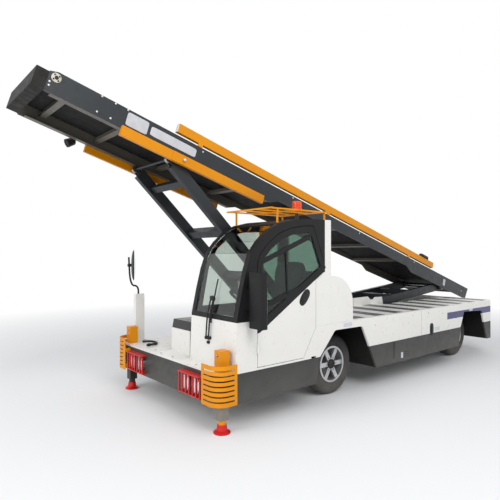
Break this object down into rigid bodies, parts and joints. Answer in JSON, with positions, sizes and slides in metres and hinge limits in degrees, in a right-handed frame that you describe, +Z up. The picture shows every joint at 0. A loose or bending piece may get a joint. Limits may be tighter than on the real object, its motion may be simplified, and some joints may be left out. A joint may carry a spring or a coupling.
{
  "type": "self-propelled baggage belt loader",
  "caption": "Self-propelled baggage belt loader: low electric truck with a left half cab, a long tilting conveyor boom on lift arms, front jacks and slotted corner guards",
  "frame": {"origin": "on the ground at the middle of the vehicle's overall length and width", "axes": "+X forward, +Y to the left, +Z up"},
  "size_m": [7.932, 2.425, 3.2712],
  "materials": {
    "white_paint": "semi-gloss warm white body paint",
    "dark_grey_paint": "satin dark grey lower band",
    "slate_paint": "satin slate grey structural paint",
    "black_paint": "satin black",
    "yellow_paint": "semi-gloss safety yellow",
    "red_paint": "gloss red guard and jack paint",
    "jack_steel": "bare steel leg over a red foot",
    "black_plastic": "grained black trim",
    "glass_tint": "green tinted laminated glass",
    "lamp_chrome": "bright reflector behind clear glass",
    "alloy": "silver painted cast alloy",
    "tyre_rubber": "matt black tyre rubber",
    "belt_rubber": "black ribbed conveyor belt",
    "bumper_rubber": "worn black bumper rubber",
    "seat_vinyl": "dark grey vinyl",
    "beacon_lens": "orange warning lens",
    "polished_steel": "bright steel rod and rollers"
  },
  "bodies": {
    "body": {"chassis_frame": "black_paint", "skirt_band": "dark_grey_paint", "side_panels": "white_paint", "front_platform": "white_paint", "rear_deck": "white_paint", "arch_liners": "black_plastic", "front_axle": "black_paint", "rear_axle": "black_paint", "corner_guards": "yellow_paint", "jack_tubes": "yellow_paint", "lamp_guards": "red_paint", "headlamps": "lamp_chrome", "cab_shell": "white_paint", "cab_frame": "black_paint", "cab_glass": "glass_tint", "rear_cowl": "white_paint", "seat": "seat_vinyl", "dashboard": "black_plastic", "side_mirror": "black_plastic", "roof_rack": "yellow_paint", "beacon": "beacon_lens", "boom_rest": "white_paint", "mirror_post": "white_paint", "battery": "black_plastic", "arm_brackets": "white_paint"},
    "knuckle_l": {"knuckle_left": "black_paint"},
    "knuckle_r": {"knuckle_right": "black_paint"},
    "wheel_fl": {"tyre_front_left": "tyre_rubber", "rim_front_left": "alloy"},
    "wheel_fr": {"tyre_front_right": "tyre_rubber", "rim_front_right": "alloy"},
    "wheel_rl": {"tyre_rear_left": "tyre_rubber", "rim_rear_left": "alloy"},
    "wheel_rr": {"tyre_rear_right": "tyre_rubber", "rim_rear_right": "alloy"},
    "jack_l": {"jack_leg_left": "jack_steel"},
    "jack_r": {"jack_leg_right": "jack_steel"},
    "cab_door": {"door_panel": "white_paint", "door_frame": "black_paint", "door_glass": "glass_tint"},
    "front_lift": {"front_arm": "slate_paint", "track_rollers": "polished_steel"},
    "rear_lift": {"rear_arm": "slate_paint"},
    "trunnion_shaft": {"trunnion": "polished_steel"},
    "front_cylinder_barrels": {"front_barrels": "black_paint"},
    "front_cylinder_rods": {"front_rods": "polished_steel"},
    "rear_cylinder_barrels": {"rear_barrels": "black_paint"},
    "rear_cylinder_rods": {"rear_rods": "polished_steel"},
    "boom": {"boom_frame": "slate_paint", "belt": "belt_rubber", "end_rollers": "polished_steel", "nose_bumper": "bumper_rubber", "handrails": "yellow_paint"}
  },
  "joints": [
    {"name": "steer_left", "type": "hinge", "parent": "body", "child": "knuckle_l", "pos_m": [0.785, 0.6, 0.352], "axis": [0, 0, 1], "range_deg": [-30, 30]},
    {"name": "steer_right", "type": "hinge", "parent": "body", "child": "knuckle_r", "pos_m": [0.785, -0.6, 0.352], "axis": [0, 0, 1], "range_deg": [-30, 30]},
    {"name": "wheel_front_left_spin", "type": "hinge", "parent": "knuckle_l", "child": "wheel_fl", "pos_m": [0.785, 0.7125, 0.352], "axis": [0, 1, 0], "continuous": true},
    {"name": "wheel_front_right_spin", "type": "hinge", "parent": "knuckle_r", "child": "wheel_fr", "pos_m": [0.785, -0.7125, 0.352], "axis": [0, 1, 0], "continuous": true},
    {"name": "wheel_rear_left_spin", "type": "hinge", "parent": "body", "child": "wheel_rl", "pos_m": [-2.365, 0.6325, 0.352], "axis": [0, 1, 0], "continuous": true},
    {"name": "wheel_rear_right_spin", "type": "hinge", "parent": "body", "child": "wheel_rr", "pos_m": [-2.365, -0.6325, 0.352], "axis": [0, 1, 0], "continuous": true},
    {"name": "jack_left_lift", "type": "slide", "parent": "body", "child": "jack_l", "axis": [0, 0, 1], "range_m": [0, 0.14]},
    {"name": "jack_right_lift", "type": "slide", "parent": "body", "child": "jack_r", "axis": [0, 0, 1], "range_m": [0, 0.14]},
    {"name": "door_hinge", "type": "hinge", "parent": "body", "child": "cab_door", "pos_m": [2.138, 1.042, 0.74], "axis": [0, 0, -1], "range_deg": [0, 70]},
    {"name": "rear_lift", "type": "hinge", "parent": "body", "child": "rear_lift", "pos_m": [-1.165, -0.26, 0.897], "axis": [0, 1, 0], "range_deg": [0, 14]},
    {"name": "trunnion_turn", "type": "hinge", "parent": "rear_lift", "child": "trunnion_shaft", "pos_m": [-3.015, -0.26, 1.06], "axis": [0, -1, 0], "range_deg": [0, 10]},
    {"name": "boom_lift", "type": "hinge", "parent": "trunnion_shaft", "child": "boom", "pos_m": [-3.015, -0.26, 1.06], "axis": [0, -1, 0], "range_deg": [-15.45, 8.55]},
    {"name": "front_arm_lift", "type": "hinge", "parent": "body", "child": "front_lift", "pos_m": [0.86, -0.26, 0.97], "axis": [0, -1, 0], "range_deg": [-42.5, 23.6]},
    {"name": "front_cylinder_tilt", "type": "hinge", "parent": "body", "child": "front_cylinder_barrels", "pos_m": [1.385, -0.26, 0.38], "axis": [0, -1, 0], "range_deg": [-9, 5.5]},
    {"name": "front_cylinder_stroke", "type": "slide", "parent": "front_cylinder_barrels", "child": "front_cylinder_rods", "axis": [-0.2182, 0, 0.9759], "range_m": [-0.36, 0.22]},
    {"name": "rear_cylinder_tilt", "type": "hinge", "parent": "body", "child": "rear_cylinder_barrels", "pos_m": [-1.515, -0.26, 0.59], "axis": [0, 1, 0], "range_deg": [0, 18]},
    {"name": "rear_cylinder_stroke", "type": "slide", "parent": "rear_cylinder_barrels", "child": "rear_cylinder_rods", "axis": [-0.9162, 0, 0.4007], "range_m": [0, 0.12]}
  ],
  "couplings": [
    {"joint": "steer_right", "follows": "steer_left", "ratio": 1},
    {"joint": "trunnion_turn", "follows": "rear_lift", "ratio": 0.711},
    {"joint": "front_arm_lift", "follows": "boom_lift", "ratio": 2.734},
    {"joint": "front_cylinder_tilt", "follows": "boom_lift", "ratio": 0.505},
    {"joint": "front_cylinder_stroke", "follows": "boom_lift", "m_per_rad": 1.1239},
    {"joint": "rear_cylinder_tilt", "follows": "rear_lift", "ratio": 1.1875},
    {"joint": "rear_cylinder_stroke", "follows": "rear_lift", "m_per_rad": 0.44}
  ]
}
